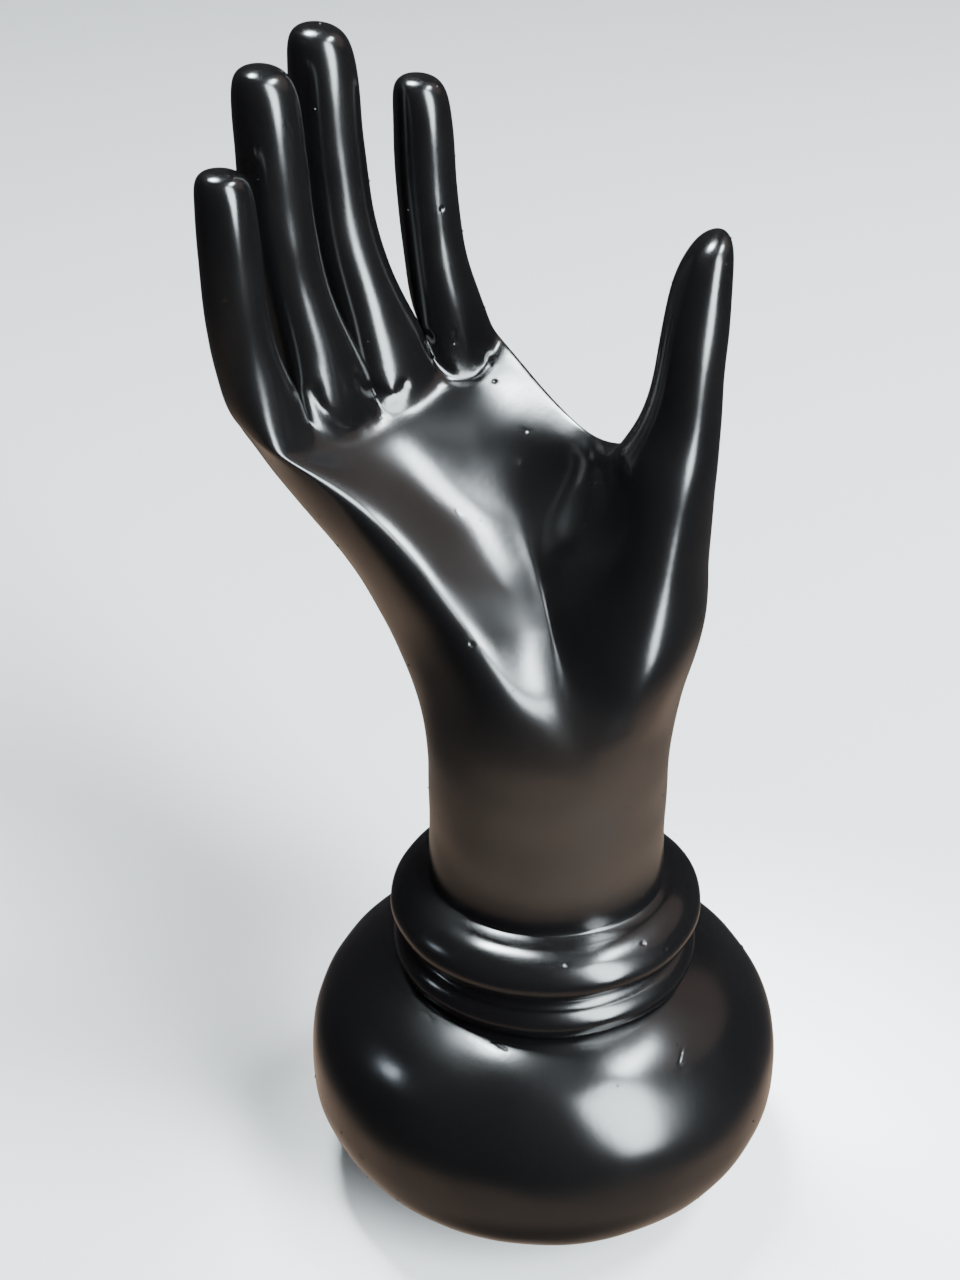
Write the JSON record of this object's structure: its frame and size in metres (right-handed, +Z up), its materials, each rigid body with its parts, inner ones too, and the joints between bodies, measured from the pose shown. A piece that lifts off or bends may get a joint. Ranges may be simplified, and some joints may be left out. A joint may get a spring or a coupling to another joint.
{
  "type": "hand jewelry stand",
  "caption": "Raised open hand on a turned ball foot, cast in one piece, that holds rings on its fingers and bracelets and necklaces over its thumb and wrist.",
  "frame": {"origin": "middle of the flat underside of the turned foot, where it rests on the table", "axes": "+Z up along the axis of the foot and the wrist; the palm looks towards -Y; the thumb is on the +X side and the little finger on the -X side"},
  "size_m": [0.1362, 0.1207, 0.2839],
  "materials": {
    "lacquer": "gloss"
  },
  "bodies": {
    "root": {"hand_stand": "lacquer"}
  },
  "joints": []
}
